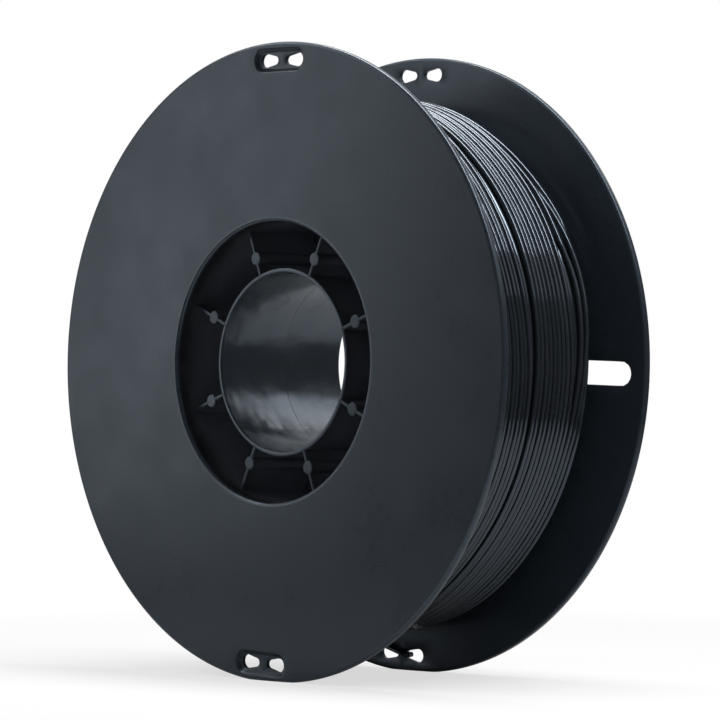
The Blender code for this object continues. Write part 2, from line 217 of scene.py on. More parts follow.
class StudioSettings(bpy.types.PropertyGroup):
    """Camera and lamps."""

    azimuth: angle("Azimuth", "Camera's place round the spool, from the front towards +X", 45.53)
    elevation: angle("Elevation", "Camera's height above the spool's middle", -1.31)
    camera_place: FloatVectorProperty(
        name="Camera place", description="Where the camera stands", default=(0.7275, -0.7074, -0.0221),
        subtype="TRANSLATION", unit="LENGTH",
    )
    lens: FloatProperty(name="Lens", description="Focal length", default=159, subtype="DISTANCE_CAMERA")
    key_power: FloatProperty(name="Key power", description="Lamp at the left", default=0.8, unit="POWER")
    top_power: FloatProperty(name="Top power", description="Lamp overhead", default=3.4, unit="POWER")
    edge_power: FloatProperty(name="Edge power", description="Small lamp at the upper left", default=0.6, unit="POWER")
    bore_power: FloatProperty(name="Bore power", description="Lamp behind the bore", default=0.12, unit="POWER")
    ambient: share("Ambient", "Light from the room", 0.36)
    shadow_reach: length("Shadow reach", "How far from the spool the floor turns white", 400)


def quads(rows, columns, wrap_rows, wrap_columns):
    """Corner numbers of a grid's cells. A cell joins a point to its neighbours beside and below it, and a wrapped
    way joins its last line to its first."""
    row, column = np.meshgrid(
        np.arange(rows if wrap_rows else rows - 1), np.arange(columns if wrap_columns else columns - 1), indexing="ij"
    )
    below, beside = (row + 1) % rows, (column + 1) % columns
    return np.stack(
        [row * columns + column, row * columns + beside, below * columns + beside, below * columns + column], -1
    )


def sheet(points, wrap_rows=False, wrap_columns=False, keep=None):
    """A grid of points as (points, faces), with only the cells that keep marks."""
    faces = quads(*points.shape[:2], wrap_rows, wrap_columns)
    return points.reshape(-1, 3), faces.reshape(-1, 4) if keep is None else faces[keep]


def on_axis(radius, angle, along):
    """Points round the spool's axis: X and Z are the radius times the angle's cosine and sine, Y is along."""
    radius, angle, along = np.broadcast_arrays(radius, angle, along)
    return np.stack([radius * np.cos(angle), along, radius * np.sin(angle)], -1)


def arc(centre, radius, start, end, steps=ARC_STEPS):
    """Points of an arc in a plane: the centre plus the radius times cosine and sine of even angles, in degrees."""
    turn = np.radians(np.linspace(start, end, steps + 1))
    return np.stack([centre[0] + radius * np.cos(turn), centre[1] + radius * np.sin(turn)], 1)


def join_points(*pieces):
    return np.concatenate([np.atleast_2d(piece) for piece in pieces])


def smooth(value):
    """0 below 0, 1 above 1, and 3v² - 2v³ between."""
    value = np.clip(value, 0, 1)
    return value * value * (3 - 2 * value)


def finish_piece(name, surfaces, materials, body, replaced, finishes=None, sharp=40):
    """One object of all the surfaces, welded, facing outwards and shaded smooth up to the sharp angle. Finishes gives
    the number of each surface's material."""
    counts = np.cumsum([0] + [len(points) for points, _ in surfaces])
    points = np.concatenate([points for points, _ in surfaces])
    faces = np.concatenate([faces + first for (_, faces), first in zip(surfaces, counts)])
    finishes = np.repeat(finishes or [0] * len(surfaces), [len(faces) for _, faces in surfaces])
    mesh = bpy.data.meshes.new(name)
    mesh.vertices.add(len(points))
    mesh.vertices.foreach_set("co", points.astype(np.float32).ravel())
    mesh.loops.add(faces.size)
    mesh.loops.foreach_set("vertex_index", faces.astype(np.int32).ravel())
    mesh.polygons.add(len(faces))
    mesh.polygons.foreach_set("loop_start", np.arange(0, faces.size, 4, dtype=np.int32))
    mesh.polygons.foreach_set("material_index", finishes.astype(np.int32))
    mesh.update(calc_edges=True)
    shape = bmesh.new()
    shape.from_mesh(mesh)
    bmesh.ops.remove_doubles(shape, verts=shape.verts, dist=WELD)
    bmesh.ops.delete(shape, geom=[vertex for vertex in shape.verts if not vertex.link_faces], context="VERTS")
    bmesh.ops.recalc_face_normals(shape, faces=shape.faces)
    open_edges = sum(not edge.is_manifold for edge in shape.edges)
    shape.to_mesh(mesh)
    shape.free()
    if open_edges:
        raise RuntimeError(f"{name} has {open_edges} open edges")
    mesh.shade_smooth()
    mesh.set_sharp_from_angle(angle=math.radians(sharp))
    for material in materials:
        mesh.materials.append(material)
    obj = bpy.data.objects.new(name, mesh)
    bpy.context.scene.collection.objects.link(obj)
    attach(obj, body)
    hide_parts(*replaced)
    return obj


def block_loop(lines, angles):
    """Walk round a block of the polar grid: up its angles on the first line, out along the lines, and back."""
    low, high = lines[0], lines[-1]
    level = [np.full(len(angles) - 1, low), lines[:-1], np.full(len(angles) - 1, high), lines[:0:-1]]
    turn = [angles[:-1], np.full(len(lines) - 1, angles[-1]), angles[:0:-1], np.full(len(lines) - 1, angles[0])]
    return np.concatenate(level), np.concatenate(turn)


def facing(outline, loop, centre, scale):
    """For each point of the loop, the point of the outline that lies the same way from the centre.

    Bearings are taken after dividing both ways by the scale, so that a long outline is shared out evenly.
    """
    def bearing(points):
        across, up = ((points - centre) / scale).T
        return np.arctan2(up, across)

    known, wanted = bearing(outline), bearing(loop)
    return np.stack([np.interp(wanted, known, outline[:, k], period=2 * math.pi) for k in (0, 1)], 1)


def tapered_outline(near, near_radius, far, far_radius):
    """Two round ends centred at near and far on the first axis, joined by their outer tangents."""
    touch = math.degrees(math.acos((near_radius - far_radius) / (far - near)))
    return join_points(
        arc((far, 0), far_radius, -touch, touch, 4 * ARC_STEPS),
        arc((near, 0), near_radius, touch, 360 - touch, 4 * ARC_STEPS),
    )


class Half:
    """One moulded half as a closed profile of (radius, depth) turned about the axis, depth counted outwards from
    the middle of the hub. Blocks of the turned grid are left out where an opening is lofted in."""

    def __init__(self, side):
        self.side = side
        self.sizes = bpy.context.scene.spool_sizes
        self.openings = bpy.context.scene.spool_openings
        s, o = self.sizes, self.openings
        self.drum_radius = s.opening_radius + s.drum_wall
        self.inner_face = s.half_width - s.flange_thickness
        self.hole_circle = s.flange_radius - o.hole_rim_distance
        self.angles = np.radians(np.arange(ROUND_COLUMNS)) - s.roll - math.pi
        self.face_lines = join_points(
            np.linspace(self.drum_radius + 5.5 * MM, self.hole_circle - 5.2 * MM, 13)[:, None],
            np.linspace(self.hole_circle - 5.2 * MM, s.flange_radius - s.rim_rounding - s.edge, 9)[1:, None],
        )[:, 0]
        start = o.start_place
        self.wall_lines = np.concatenate([
            np.linspace(s.seam + s.edge, start - 3 * MM, 6), np.linspace(start - 3 * MM, start + 3 * MM, 7)[1:],
        ])
        self.profile, self.spans = self.turned_profile()
        self.keep = np.ones((len(self.profile), ROUND_COLUMNS), bool)
        self.surfaces, self.finishes = [], []

    def turned_profile(self):
        """Flange and drum, from the seam along the drum's outside, over the rim and back down the opening."""
        s = self.sizes
        outside, mouth, rim = s.half_width, s.opening_radius + s.mouth_rounding, s.flange_radius - s.rim_rounding
        root, edge = self.drum_radius + s.root_fillet, s.edge / 2

        def upright(radius, depths):
            return np.stack([np.full(len(depths), radius), depths], 1)

        def level(radii, depth):
            return np.stack([radii, np.full(len(radii), depth)], 1)

        pieces = {
            "outer_wall": upright(self.drum_radius, self.wall_lines),
            "root": arc((root, self.inner_face - s.root_fillet), s.root_fillet, 180, 90),
            "inner_face": level(np.append(root + s.edge, self.face_lines), self.inner_face),
            "rim": join_points(
                arc((rim, self.inner_face + s.rim_rounding), s.rim_rounding, -90, 0),
                arc((rim, outside - s.rim_rounding), s.rim_rounding, 0, 90),
            ),
            "outer_face": level(np.append(self.face_lines[::-1], mouth + s.edge), outside),
            "mouth": join_points(
                arc((mouth, outside - s.mouth_rounding), s.mouth_rounding, 90, 180),
                (s.opening_radius, outside - s.mouth_rounding - s.edge),
            ),
            "inner_wall": upright(s.opening_radius, self.wall_lines[::-1]),
            "seam": join_points(
                arc((s.opening_radius + edge, s.seam + edge), edge, 180, 270, 3),
                arc((self.drum_radius - edge, s.seam + edge), edge, 270, 360, 3),
            ),
        }
        ends = np.cumsum([len(piece) for piece in pieces.values()])
        spans = {name: (end - len(piece), end) for (name, piece), end in zip(pieces.items(), ends)}
        return np.concatenate(list(pieces.values())), spans

    def leave_out(self, part, lines, columns):
        """Drop the cells of one part of the profile between two lines and over the columns."""
        first, last = self.spans[part]
        value = self.profile[first:last, 1 if part.endswith("wall") else 0]
        rows = first + np.flatnonzero((value > lines[0] - WELD) & (value < lines[-1] + WELD))
        self.keep[rows[0]:rows[-1], columns[:-1]] = False

    def columns_at(self, centre, reach):
        """Numbers of the grid's columns within reach columns of an angle that lies on the grid."""
        middle = int(np.argmin(abs(np.angle(np.exp(1j * (self.angles - centre))))))
        return np.arange(middle - reach, middle + reach + 1)

    def add_part(self, surface, finish):
        self.surfaces.append(surface)
        self.finishes.append(finish)

    def add_loft(self, loops):
        """A band through closed loops of as many points each."""
        self.add_part(sheet(np.stack(loops), wrap_columns=True), SATIN)

    def flat(self, centre, radius):
        """How (across, out) about a place on the flange becomes a point at a depth."""
        out = np.array([math.cos(centre), math.sin(centre)])
        across = np.array([-out[1], out[0]])

        def place(points, depth):
            flat = (radius + points[:, 1:]) * out + points[:, :1] * across
            return np.stack([flat[:, 0], np.full(len(flat), self.side * depth), flat[:, 1]], 1)

        return place

    def face_block(self, centre, radius, lines, reach):
        """Leave a block out of both faces, and give its loop as (across, out) about the place."""
        columns = self.columns_at(centre, reach)
        for part in ("inner_face", "outer_face"):
            self.leave_out(part, lines, columns)
        level, turn = block_loop(lines, self.angles[columns])
        return np.stack([level * np.sin(turn - centre), level * np.cos(turn - centre) - radius], 1)

    def pocket_loop(self, loop, inset):
        """The pocket's outline, set in, along the rays to the loop.

        The outline is where the sum of the three walls' distances, each raised to a high power, comes to one: a
        rectangle whose corners are cut at 45 degrees, with its edges softly rounded.
        """
        o, power = self.openings, 14
        half_length, half_height = o.pocket_length / 2 - inset, o.pocket_height / 2 - inset
        diagonal = (o.pocket_length + o.pocket_height) / 2 - o.pocket_corner - math.sqrt(2) * inset
        across, out = abs(loop.T)
        reach = (across / half_length) ** power + (out / half_height) ** power + ((across + out) / diagonal) ** power
        return loop * reach[:, None] ** (-1 / power)

    def add_filament_holes(self):
        """Two pairs of tapered holes in pockets, opposite each other.

        A pocket's wall sinks at 45 degrees with its edges eased, as the difference of two softened ramps. Each
        half of its floor is lofted to the rim of a hole, through the flange and out to the inner face's block.
        """
        s, o = self.sizes, self.openings
        depth, eased, foot = o.pocket_depth, 0.16 * MM, 0.04 * MM
        insets = np.concatenate([np.linspace(-0.5, 0.5, 9), [0.8], np.linspace(1.05, 1.28, 5)]) * MM

        def ramp(value, softness):
            return (np.sqrt(value**2 + softness**2) + value) / 2

        sinks = np.clip(ramp(insets, eased) - ramp(insets - depth, foot), 0, depth)
        sinks[0], sinks[-1] = 0, depth
        lines = self.face_lines[12:]
        middle = np.arange(1, CENTRE_LINE_POINTS + 1)[:, None] / (CENTRE_LINE_POINTS + 1)
        reach = 9
        for centre in (TOP - s.roll, BOTTOM - s.roll):
            block = self.face_block(centre, self.hole_circle, lines, reach)
            place = self.flat(centre, self.hole_circle)
            walls = [self.pocket_loop(block, inset) for inset in insets]
            self.add_loft(
                [place(block, s.half_width)] + [place(w, s.half_width - sink) for w, sink in zip(walls, sinks)]
            )
            low, high = reach, 2 * reach + len(lines) - 1 + reach
            for sign in (1, -1):
                near = o.hole_spacing / 2 + o.narrow_radius
                far = o.hole_spacing / 2 + o.hole_length - o.wide_radius
                centre_point, scale = np.array([sign * (near + far) / 2, 0]), np.array([o.hole_length, o.hole_length])

                def half_loop(whole):
                    first, count = (low, high - low) if sign > 0 else (high, len(whole) - high + low)
                    around = np.roll(whole, -first, axis=0)[:count + 1]
                    return np.concatenate([around, around[-1] + (around[0] - around[-1]) * middle])

                floor, back = half_loop(walls[-1]), half_loop(block)

                def rim(loop, wider):
                    outline = tapered_outline(near, o.narrow_radius + wider, far, o.wide_radius + wider)
                    return facing(outline * (sign, 1), loop, centre_point, scale)

                upper, lower = s.half_width - depth, self.inner_face
                edges = [(0.14, 0), (0.05, 0.03), (0.01, 0.08), (0, 0.15)]
                self.add_loft(
                    [place(floor, upper)]
                    + [place(rim(floor, wider * MM), upper - sink * MM) for wider, sink in edges]
                    + [place(rim(floor, wider * MM), lower + sink * MM) for wider, sink in edges[::-1]]
                    + [place(back, lower)]
                )

    def add_sight_slot(self):
        """A long slot with round ends through the flange, lofted from face to face with eased edges."""
        s, o = self.sizes, self.openings
        inner, outer = self.drum_radius + o.slot_drum_distance, s.flange_radius - o.slot_rim_distance
        radius, half = (inner + outer) / 2, o.slot_width / 2
        run = (outer - inner) / 2 - half
        centre = RIGHT - s.roll
        block = self.face_block(centre, radius, self.face_lines[:20], 5)
        place = self.flat(centre, radius)

        def rim(wider):
            outline = tapered_outline(-run, half + wider, run, half + wider)[:, ::-1]
            return facing(outline, block, np.zeros(2), np.array([half, half + run]))

        edges = [(0.35, 0), (0.16, 0.04), (0.04, 0.16), (0, 0.35)]
        self.add_loft(
            [place(block, s.half_width)]
            + [place(rim(wider * MM), s.half_width - sink * MM) for wider, sink in edges]
            + [place(rim(wider * MM), self.inner_face + sink * MM) for wider, sink in edges[::-1]]
            + [place(block, self.inner_face)]
        )

    def add_start_hole(self, centre):
        """A round hole through the drum for the filament's inner end, lofted from wall to wall."""
        o = self.openings
        columns = self.columns_at(centre, 4)
        lines = self.wall_lines[5:]
        for part in ("outer_wall", "inner_wall"):
            self.leave_out(part, lines, columns)
        level, turn = block_loop(lines, self.angles[columns])
        outer, inner = self.drum_radius, self.sizes.opening_radius
        block = np.stack([inner * (turn - centre), level - o.start_place], 1)

        def place(points, radius):
            return on_axis(radius, centre + points[:, 0] / inner, self.side * (o.start_place + points[:, 1]))

        def rim(wider):
            return facing(arc((0, 0), o.start_hole_radius + wider, 0, 360, 48)[:-1], block, np.zeros(2), np.ones(2))

        edges = [(0.2, 0), (0.06, 0.06), (0, 0.2)]
        self.add_loft(
            [place(block, outer)]
            + [place(rim(wider * MM), outer - sink * MM) for wider, sink in edges]
            + [place(rim(wider * MM), inner + sink * MM) for wider, sink in edges[::-1]]
            + [place(block, inner)]
        )

    def add_shell(self):
        """The turned profile itself, less the blocks left out, flattened where it stands."""
        points = on_axis(self.profile[:, :1], self.angles, self.side * self.profile[:, 1:])
        worn = np.zeros(len(self.profile), int)
        # The front rim and the mouth take the rubbed plastic, which is partly a painted highlight.
        rim = RUBBED_PAINTED_HIGHLIGHT if self.side < 0 else SATIN
        # The inner wall takes the recess's painted shade and light.
        for part, finish in (("rim", rim), ("mouth", RUBBED_PAINTED_HIGHLIGHT), ("inner_wall", PAINTED_SHADE_AND_LIGHT)):
            first, last = self.spans[part]
            worn[first - 1:last - 1] = finish
        for finish in np.unique(worn):
            self.add_part(sheet(points, True, True, self.keep & (worn == finish)[:, None]), finish)

    def add_hub(self, recess):
        """The hub tube, turned, and between it and the drum eight ribs, each with a round post."""
        s = self.sizes
        end, edge = s.half_width - recess, s.edge
        inner, outer = s.bore_radius, s.bore_radius + s.tube_wall
        shut, fine = s.bore_seam, s.edge / 5
        outside = join_points(
            arc((inner + fine, shut + fine), fine, 180, 270, 3), arc((outer - edge, shut + edge), edge, -90, 0, 4),
            (outer, shut + 2 * edge), (outer, end - 2 * edge),
        )
        lip = join_points(
            outside[-1], arc((outer - edge, end - edge), edge, 0, 90, 4),
            arc((inner + edge, end - edge), edge, 90, 180, 4), (inner, end - 2 * edge),
        )
        inside = join_points(lip[-1], (inner, shut + 2 * fine), outside[0])
        turn = np.linspace(0, 2 * math.pi, TUBE_COLUMNS, endpoint=False)
        # The tube's outside takes the recess's painted shade and light, and its lip takes the rubbed plastic, partly a
        # painted highlight.
        for profile, finish in ((outside, PAINTED_SHADE_AND_LIGHT), (inside, POLISHED), (lip, RUBBED_PAINTED_HIGHLIGHT)):
            points = on_axis(profile[:, :1], turn, self.side * profile[:, 1:])
            self.add_part(sheet(points, False, True), finish)
        ribs = TOP - s.roll + (np.arange(s.rib_count) + 0.5) * 2 * math.pi / s.rib_count
        self.add_posts(ribs, end)
        wall = s.drum_wall / 2
        clasp = math.sqrt(s.post_radius**2 - (s.rib_thickness / 2) ** 2) - edge
        self.add_webs(ribs, outer - s.tube_wall / 2, s.post_circle - clasp, end)
        self.add_webs(ribs, s.post_circle + clasp, s.opening_radius + wall, end)

    def add_posts(self, ribs, end):
        """Posts turned about their own axes. A front one ends in a pin at the seam, a rear one in a socket."""
        s, edge = self.sizes, self.sizes.edge
        top = join_points(
            (0, end), (s.post_radius - 2 * edge, end), arc((s.post_radius - edge, end - edge), edge, 90, 0, 4),
            (s.post_radius, end - 2 * edge),
        )
        foot = join_points(
            (s.post_radius, s.seam + edge), arc((s.post_radius - edge / 2, s.seam + edge / 2), edge / 2, 0, -90, 3)
        )
        if self.side < 0:
            tip, ease = -s.pin_length, s.pin_radius / 2
            mate = join_points(
                (s.pin_radius, s.seam), (s.pin_radius, tip + 2 * ease),
                arc((s.pin_radius - ease, tip + ease), ease, 0, -90, 4), (0, tip),
            )
        else:
            mate = join_points(
                arc((s.socket_radius + edge / 2, s.seam + edge / 2), edge / 2, -90, -180, 3),
                (s.socket_radius, s.socket_depth), (0, s.socket_depth),
            )
        profile = join_points(top, foot, mate)
        turn = np.linspace(0, 2 * math.pi, POST_COLUMNS, endpoint=False)
        for rib in ribs:
            ring = profile[:, :1, None] * np.stack([np.cos(turn), np.sin(turn)], -1)
            centre = s.post_circle * np.array([math.cos(rib), math.sin(rib)])
            depth = np.broadcast_to(self.side * profile[:, 1:], ring.shape[:2])
            points = np.stack([ring[..., 0] + centre[0], depth, ring[..., 1] + centre[1]], -1)
            rows = np.arange(len(profile) - 1)[:, None] < len(top) - 1
            cap = np.broadcast_to(rows, (len(rows), POST_COLUMNS))
            self.add_part(sheet(points, False, True, cap), SATIN)
            # The posts' sides take the recess's painted shade and light.
            self.add_part(sheet(points, False, True, ~cap), PAINTED_SHADE_AND_LIGHT)

    def add_webs(self, ribs, start, stop, end):
        """Rib plates: a rounded oblong of (across, depth) carried outwards from start to stop, closed at its ends."""
        s, half = self.sizes, self.sizes.rib_thickness / 2
        edge, foot = s.edge, s.edge / 2
        section = join_points(
            arc((half - foot, s.seam + foot), foot, -90, 0, 3), (half, s.seam + edge), (half, end - 2 * edge),
            arc((half - edge, end - edge), edge, 0, 90, 4), arc((edge - half, end - edge), edge, 90, 180, 4),
            (-half, end - 2 * edge), (-half, s.seam + edge), arc((foot - half, s.seam + foot), foot, 180, 270, 3),
        )
        middle = section.mean(0)
        stations = [(start, 0), (start, 1), (stop, 1), (stop, 0)]
        level = section[:, 0] == np.roll(section[:, 0], -1)
        sides = np.zeros((len(stations) - 1, len(section)), bool)
        sides[1] = level & (abs(section[:, 0]) == half)
        for rib in ribs:
            place = self.flat(rib, 0)
            loops = []
            for out, size in stations:
                across, depth = (middle + (section - middle) * size).T
                flat = place(np.stack([across, np.full(len(across), out)], 1), 0)
                flat[:, 1] = self.side * depth
                loops.append(flat)
            self.add_part(sheet(np.stack(loops), False, True, ~sides), SATIN)
            # The ribs' sides take the recess's painted shade and light.
            self.add_part(sheet(np.stack(loops), False, True, sides), PAINTED_SHADE_AND_LIGHT)

    def finish(self, name, body):
        self.add_shell()
        for points, _ in self.surfaces:
            np.maximum(points[:, 2], FLOOR_HEIGHT, out=points[:, 2])
        materials = [spool_plastic(), polished_bore(), rubbed_edge_painted_highlight(), recess_painted_shade_and_light()]
        replaced = [name.removesuffix("_moulding")]
        return finish_piece(name, self.surfaces, materials, body, replaced, self.finishes)


class Nodes:
    """A node output in one tree. Arithmetic on it adds Math nodes, and node() adds any other node."""

    def __init__(self, tree, socket=None):
        self.tree, self.socket = tree, socket

    def node(self, kind, settings, inputs, output=0):
        """Add a node, set it up, give its sockets values or links, and wrap one of its outputs."""
        node = self.tree.nodes.new(kind)
        for key, value in settings.items():
            setattr(node, key, value)
        for key, value in inputs.items():
            if isinstance(value, Nodes):
                self.tree.links.new(value.socket, node.inputs[key])
            else:
                node.inputs[key].default_value = value
        return Nodes(self.tree, node.outputs[output])

    def output(self, name):
        """Another output of the same node."""
        return Nodes(self.tree, self.socket.node.outputs[name])

    def math(self, operation, first, second=0.0, clamp=False):
        return self.node("ShaderNodeMath", {"operation": operation, "use_clamp": clamp}, {0: first, 1: second})

    def __add__(self, other):
        return self.math("ADD", self, other)

    def __sub__(self, other):
        return self.math("SUBTRACT", self, other)

    def __rsub__(self, other):
        return self.math("SUBTRACT", other, self)

    def __mul__(self, other):
        return self.math("MULTIPLY", self, other)

    def __truediv__(self, other):
        return self.math("DIVIDE", self, other)

    def __pow__(self, other):
        return self.math("POWER", self, other)

    __radd__, __rmul__ = __add__, __mul__

    def clamped(self):
        return self.math("ADD", self, 0.0, clamp=True)

    def between(self, low, high):
        """0 at low and below, 1 at high and above."""
        return ((self - low) / (high - low)).clamped()

    def noise(self, vector, scale, detail=2.0, roughness=0.5):
        return self.node(
            "ShaderNodeTexNoise", {"noise_dimensions": "3D"},
            {"Vector": vector, "Scale": scale, "Detail": detail, "Roughness": roughness},
        )

    def stretched(self, vector, scale):
        return self.node("ShaderNodeMapping", {"vector_type": "POINT"}, {"Vector": vector, "Scale": scale})

    def mixed(self, factor, first, second):
        """A colour mix. The node's colour sockets are its seventh and eighth."""
        return self.node(
            "ShaderNodeMix", {"data_type": "RGBA"}, {0: factor, 6: first, 7: second}, output=2
        )


def new_material(name):
    material = bpy.data.materials.new(name)
    material.use_nodes = True
    tree = material.node_tree
    shader = tree.nodes["Principled BSDF"]
    return material, tree, shader


# What the shader has when nothing is set
PLAIN_SPECULAR, UNTINTED = 0.5, (1, 1, 1)


def made_once(name):
    """Makes a material at its first call, and finds it again after that. The wrapped function takes a node
    wrapper, the object coordinates and the settings, and gives the colour, the roughness, the relief, and how
    strongly and in what tint the shader reflects."""
    def wrap(paint):
        def material():
            found = bpy.data.materials.get(name)
            if found:
                return found
            made, tree, shader = new_material(name)
            nodes = Nodes(tree)
            place = nodes.node("ShaderNodeTexCoord", {}, {}, "Object")
            shade, roughness, bump, specular, tint = paint(nodes, place, bpy.context.scene.spool_finish)
            for source, socket in ((shade, "Base Color"), (roughness, "Roughness"), (bump, "Normal")):
                tree.links.new(source.socket, shader.inputs[socket])
            shader.inputs["Specular IOR Level"].default_value = specular
            shader.inputs["Specular Tint"].default_value = (*tint, 1)
            return made
        return material
    return wrap


@made_once("spool_plastic_finish")
def spool_plastic(nodes, place, finish):
    """Satin black plastic: a fine moulded grain, broad uneven gloss and specks of dust."""
    mottle = nodes.noise(place, 55, 4, 0.6)
    grain = nodes.noise(place, 2600, 2, 0.6)
    dust = nodes.noise(place, 900, 1, 0.4).between(0.73, 0.8) * nodes.noise(place, 38, 2).between(0.45, 0.65)
    pale = (mottle.between(0.45, 0.8) * 0.1 + grain.between(0.4, 0.9) * 0.08 + dust * 0.6).clamped()
    shade = nodes.mixed(pale, (*finish.plastic, 1), (*finish.plastic_pale, 1))
    satin = finish.plastic_roughness + (mottle - 0.5) * 0.2 + (grain - 0.5) * 0.08
    height = grain * 0.6 + mottle * 2
    bump = nodes.node("ShaderNodeBump", {}, {"Strength": 0.12, "Distance": 0.04 * MM, "Height": height})
    return shade, satin, bump, finish.plastic_specular, finish.reflection


@made_once("rubbed_edge_painted_highlight_finish")
def rubbed_edge_painted_highlight(nodes, place, finish):
    """The plastic of edges that hands and holders rub: paler in patches, partly from wear and partly as a painted
    highlight, with a gloss that fine scores break up.
    """
    worn = nodes.noise(place, 160, 4, 0.6)
    scores = nodes.noise(place, 1900, 2, 0.6)
    # Paler in patches: partly wear, partly a painted highlight along the edge.
    shade = nodes.mixed(worn.between(0.35, 0.8) * 0.25, (*finish.plastic, 1), (*finish.plastic_pale, 1))
    roughness = finish.edge_roughness + (worn - 0.5) * 0.2 + (scores - 0.5) * 0.1
    bump = nodes.node("ShaderNodeBump", {}, {"Strength": 0.2, "Distance": 0.04 * MM, "Height": scores * 0.6 + worn})
    return shade, roughness, bump, PLAIN_SPECULAR, finish.reflection


@made_once("polished_bore_finish")
def polished_bore(nodes, place, finish):
    """The bore's plastic, rubbed to a polish: broad dents and fine scores along the axis smear what it mirrors."""
    dents = nodes.noise(place, 75, 2, 0.5)
    scores = nodes.noise(nodes.stretched(place, (1, 0.1, 1)), 420, 3, 0.55)
    rubbed = nodes.noise(nodes.stretched(place, (1, 0.45, 1)), 95, 3, 0.55)
    # Paler throughout than the faces: partly rubbed wear, partly painted light that brightens the bore.
    shade = nodes.mixed(0.6 + rubbed.between(0.35, 0.8) * 0.4, (*finish.plastic, 1), (*finish.plastic_pale, 1))
    roughness = finish.bore_roughness + rubbed.between(0.3, 0.8) * 0.16 + (scores - 0.5) * 0.1
    height = dents * 26 + scores * 0.8 + rubbed * 3
    bump = nodes.node("ShaderNodeBump", {}, {"Strength": 0.5, "Distance": 0.04 * MM, "Height": height})
    return shade, roughness, bump, finish.bore_specular, finish.reflection


@made_once("recess_painted_shade_and_light_finish")
def recess_painted_shade_and_light(nodes, place, finish):
    """Matt plastic in the hub's recess, with painted shade darkening it near the mouth and painted light greying it
    further in, in patches.
    """
    patches, grain = nodes.noise(place, 70, 4, 0.6), nodes.noise(place, 2200, 2, 0.6)
    along = nodes.node("ShaderNodeSeparateXYZ", {}, {0: place}, "Y")
    depth = nodes.math("ABSOLUTE", along)
    # Painted shade near the mouth turns into painted light deeper in.
    painted_light_share = (depth.between(30 * MM, 8 * MM) + (patches - 0.5) * 0.3 + (grain - 0.5) * 0.2).clamped()
    shade = nodes.mixed(painted_light_share, (*finish.recess, 1), (*finish.recess_painted_light, 1))
    roughness = 0.6 + (patches - 0.5) * 0.2
    bump = nodes.node("ShaderNodeBump", {}, {"Strength": 0.15, "Distance": 0.04 * MM, "Height": grain})
    return shade, roughness, bump, finish.plastic_specular, UNTINTED


@made_once("filament_finish")
def filament_finish(nodes, place, finish):
    """Dark filament with a soft gloss, and faint streaks that follow the turns round the axis."""
    mottle = nodes.noise(place, 45, 3, 0.6)
    grain = nodes.noise(place, 1500, 2, 0.55)
    strands = nodes.noise(nodes.stretched(place, (6, 700, 6)), 1, 2, 0.5)
    streaks = strands.between(0.4, 0.75) * 0.45
    pale = (streaks + mottle.between(0.4, 0.8) * 0.15 + grain.between(0.4, 0.9) * 0.1).clamped()
    shade = nodes.mixed(pale, (*finish.filament, 1), (*finish.filament_pale, 1))
    roughness = finish.filament_roughness + (mottle - 0.5) * 0.12 + (strands - 0.5) * 0.16
    bump = nodes.node(
        "ShaderNodeBump", {}, {"Strength": 0.3, "Distance": 0.03 * MM, "Height": grain + strands * 0.5}
    )
    return shade, roughness, bump, finish.filament_specular, finish.reflection


def seen_directly(nodes):
    """1 for a ray from the camera, a reflection or a transmission, and 0 for a ray of diffuse light."""
    path = nodes.node("ShaderNodeLightPath", {}, {}, "Is Camera Ray")
    return (path + path.output("Is Glossy Ray") + path.output("Is Transmission Ray")).clamped()


def card_finish(shade):
    """Dark felt."""
    material, _, shader = new_material("card_finish")
    shader.inputs["Base Color"].default_value = (shade, shade, shade, 1)
    shader.inputs["Roughness"].default_value = 1
    shader.inputs["Specular IOR Level"].default_value = 0
    return material


def floor_finish():
    """Pale floor that keeps a soft shadow and turns as white as the room away from the spool."""
    material, tree, shader = new_material("floor_finish")
    nodes = Nodes(tree)
    place = nodes.node("ShaderNodeTexCoord", {}, {}, "Object")
    distance = nodes.node("ShaderNodeVectorMath", {"operation": "LENGTH"}, {0: place}, "Value")
    near = 0.65 * nodes.node("ShaderNodeLightPath", {}, {}, "Is Camera Ray")
    white = near + (1 - near) * distance.between(0.09, bpy.context.scene.spool_studio.shadow_reach)
    shader.inputs["Base Color"].default_value = (*bpy.context.scene.spool_finish.floor, 1)
    shader.inputs["Roughness"].default_value = 0.9
    shader.inputs["Specular IOR Level"].default_value = 0
    glow = nodes.node("ShaderNodeEmission", {}, {"Color": (1, 1, 1, 1), "Strength": 1.0})
    lit = Nodes(tree, shader.outputs[0])
    mix = nodes.node("ShaderNodeMixShader", {}, {0: seen_directly(nodes) * white, 1: lit, 2: glow})
    tree.links.new(mix.socket, tree.nodes["Material Output"].inputs["Surface"])
    return material


def wandering(turn, reach, seed):
    """A smooth stray along the strand: waves of uneven lengths, from a third of a turn to three turns, added up."""
    random = np.random.default_rng(seed)
    rates, starts = random.uniform(0.3, 3.1, 9), random.uniform(0, 2 * math.pi, 9)
    waves = np.sin(2 * math.pi * turn[..., None] * rates + starts)
    return reach * waves.sum(-1) / 3


